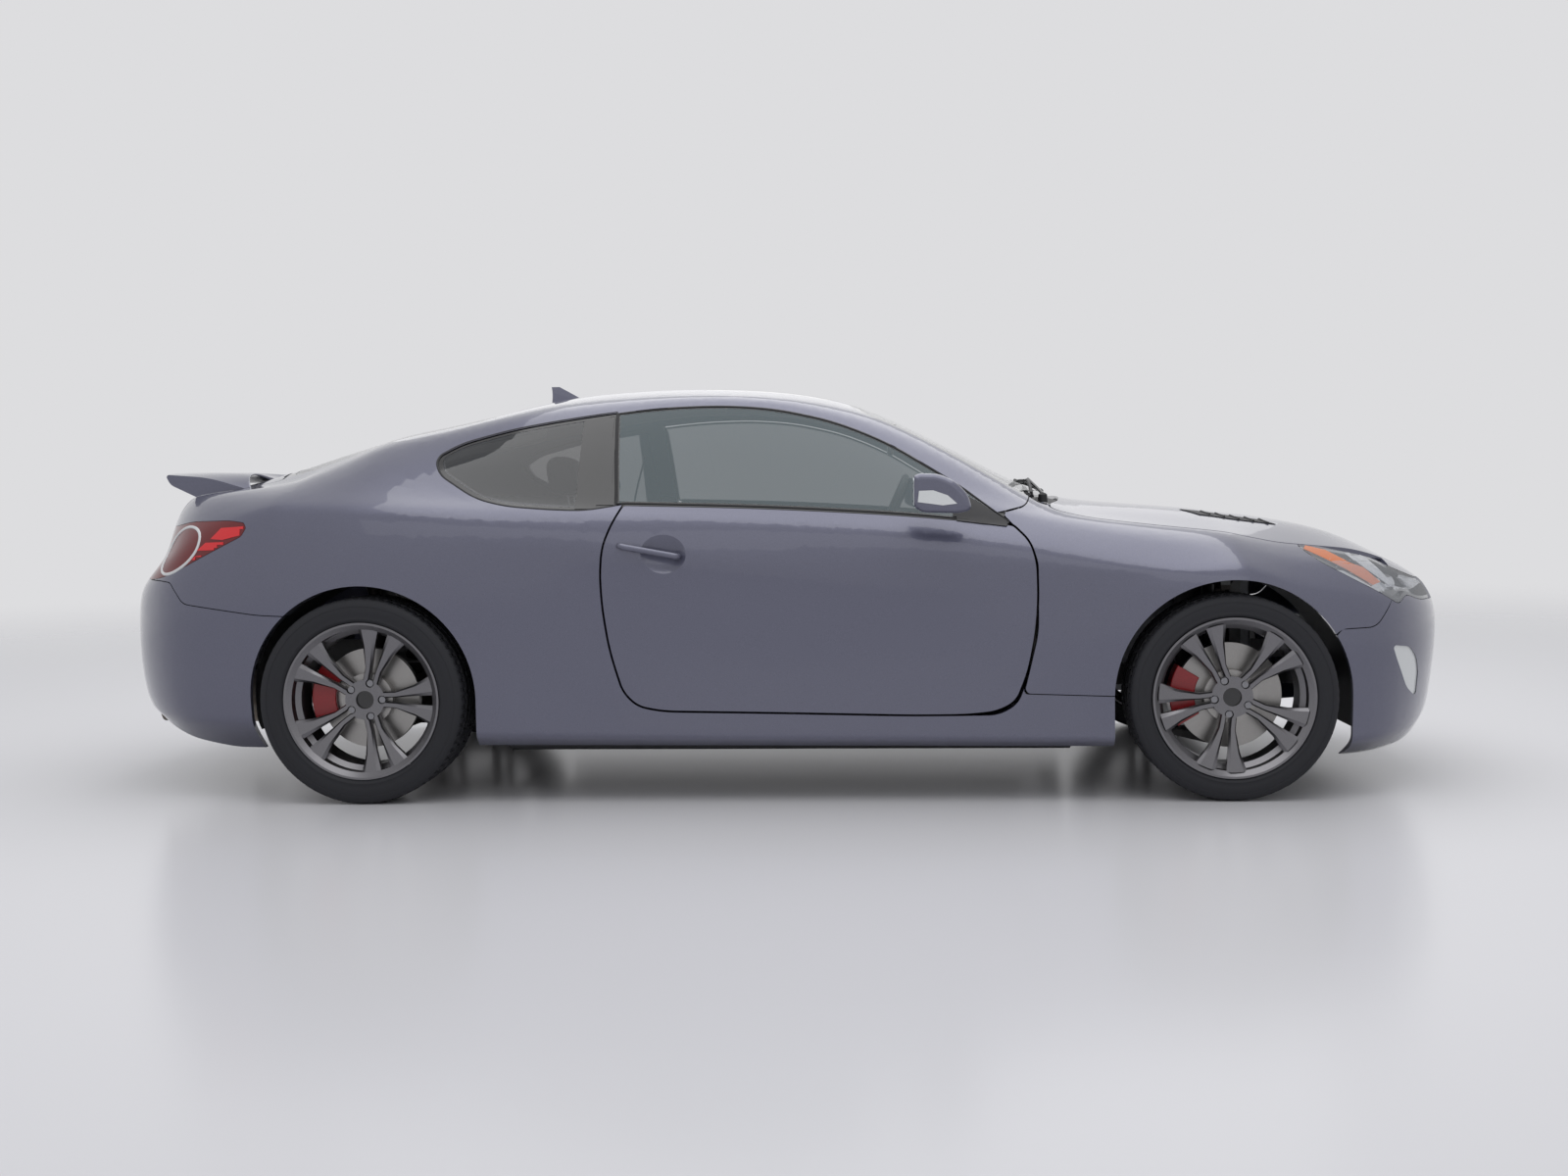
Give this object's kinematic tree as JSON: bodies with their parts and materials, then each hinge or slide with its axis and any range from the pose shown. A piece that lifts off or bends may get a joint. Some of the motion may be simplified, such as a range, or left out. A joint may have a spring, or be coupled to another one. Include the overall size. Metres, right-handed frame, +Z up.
{
  "type": "two-door coupe car",
  "caption": "Two-door coupe with opening doors, hood and trunk lid, steered front wheels, low nose, deck wing and twin-spoke wheels.",
  "frame": {"origin": "centre of the car's outline on the ground under it", "axes": "+X forwards along the car, +Y to its left side, +Z up"},
  "size_m": [4.6252, 2.084, 1.4102],
  "materials": {
    "paint": "slate metallic, clear coat",
    "structure": "satin black",
    "black_plastic": "fine grain",
    "gloss_black": "gloss",
    "tinted_glass": "tinted",
    "clear_lens": "clear",
    "red_lens": "red",
    "bright_metal": "polished",
    "rim_metal": "gunmetal paint",
    "tyre": "black rubber",
    "iron": "machined",
    "caliper_red": "red",
    "leather": "black leather",
    "steel": "plain",
    "alloy": "cast"
  },
  "bodies": {
    "body": {"body_side_left": "paint", "body_side_right": "paint", "body_structure": "structure", "cowl_panel": "black_plastic", "dashboard": "black_plastic", "driveshaft": "steel", "engine_block": "alloy", "exhaust": "steel", "fog_lamps": "clear_lens", "front_bumper": "paint", "front_fender_left": "paint", "front_fender_right": "paint", "front_seats": "leather", "front_suspension": "steel", "grille": "black_plastic", "headlamp_lenses": "clear_lens", "headlamp_units": "bright_metal", "quarter_glass": "tinted_glass", "radiator": "structure", "rear_bumper": "paint", "rear_calipers": "caliper_red", "rear_diffuser": "black_plastic", "rear_glass": "tinted_glass", "rear_seat": "leather", "rear_suspension": "steel", "roof_antenna": "paint", "roof_frame": "structure", "roof_panel": "paint", "sunroof_glass": "tinted_glass", "tail_lamps": "red_lens", "wheel_liners": "black_plastic", "windshield": "tinted_glass"},
    "door_left": {"door_panel_left": "paint", "door_glass_left": "tinted_glass", "door_mirror_left": "paint"},
    "door_right": {"door_panel_right": "paint", "door_glass_right": "tinted_glass", "door_mirror_right": "paint"},
    "hood": {"hood": "paint"},
    "trunk_lid": {"trunk_lid": "paint", "spoiler": "paint"},
    "steering_wheel": {"steering_wheel": "black_plastic"},
    "knuckle_left": {"front_knuckle_left": "steel", "front_caliper_left": "caliper_red"},
    "knuckle_right": {"front_knuckle_right": "steel", "front_caliper_right": "caliper_red"},
    "front_wheel_left": {"front_rim_left": "rim_metal", "front_tyre_left": "tyre", "front_disc_left": "iron"},
    "rear_wheel_left": {"rear_rim_left": "rim_metal", "rear_tyre_left": "tyre", "rear_disc_left": "iron"},
    "front_wheel_right": {"front_rim_right": "rim_metal", "front_tyre_right": "tyre", "front_disc_right": "iron"},
    "rear_wheel_right": {"rear_rim_right": "rim_metal", "rear_tyre_right": "tyre", "rear_disc_right": "iron"}
  },
  "joints": [
    {"name": "steer_left", "type": "hinge", "parent": "body", "child": "knuckle_left", "pos_m": [1.485, 0.7425, 0.331], "axis": [0, 0, 1], "range_deg": [-33, 33]},
    {"name": "front_wheel_spin_left", "type": "hinge", "parent": "knuckle_left", "child": "front_wheel_left", "pos_m": [1.485, 0.8025, 0.331], "axis": [0, 1, 0], "continuous": true},
    {"name": "rear_wheel_spin_left", "type": "hinge", "parent": "body", "child": "rear_wheel_left", "pos_m": [-1.335, 0.8125, 0.339], "axis": [0, 1, 0], "continuous": true},
    {"name": "door_hinge_left", "type": "hinge", "parent": "body", "child": "door_left", "pos_m": [0.765, 0.881, 0.53], "axis": [0, 0, 1], "range_deg": [-52, 0]},
    {"name": "steer_right", "type": "hinge", "parent": "body", "child": "knuckle_right", "pos_m": [1.485, -0.7425, 0.331], "axis": [0, 0, 1], "range_deg": [-33, 33]},
    {"name": "front_wheel_spin_right", "type": "hinge", "parent": "knuckle_right", "child": "front_wheel_right", "pos_m": [1.485, -0.8025, 0.331], "axis": [0, 1, 0], "continuous": true},
    {"name": "rear_wheel_spin_right", "type": "hinge", "parent": "body", "child": "rear_wheel_right", "pos_m": [-1.335, -0.8125, 0.339], "axis": [0, 1, 0], "continuous": true},
    {"name": "door_hinge_right", "type": "hinge", "parent": "body", "child": "door_right", "pos_m": [0.765, -0.881, 0.53], "axis": [0, 0, 1], "range_deg": [0, 52]},
    {"name": "hood_hinge", "type": "hinge", "parent": "body", "child": "hood", "pos_m": [0.912, 0, 0.95111], "axis": [0, -1, 0], "range_deg": [0, 48]},
    {"name": "trunk_hinge", "type": "hinge", "parent": "body", "child": "trunk_lid", "pos_m": [-1.6, 0, 1.045], "axis": [0, 1, 0], "range_deg": [0, 46]},
    {"name": "steering_wheel_turn", "type": "hinge", "parent": "body", "child": "steering_wheel", "pos_m": [0.39084, 0.386, 0.8864], "axis": [-0.9135, 0, 0.4067], "range_deg": [-462, 462]}
  ],
  "couplings": [
    {"joint": "steer_right", "follows": "steer_left", "ratio": 1},
    {"joint": "steering_wheel_turn", "follows": "steer_left", "ratio": 14}
  ]
}
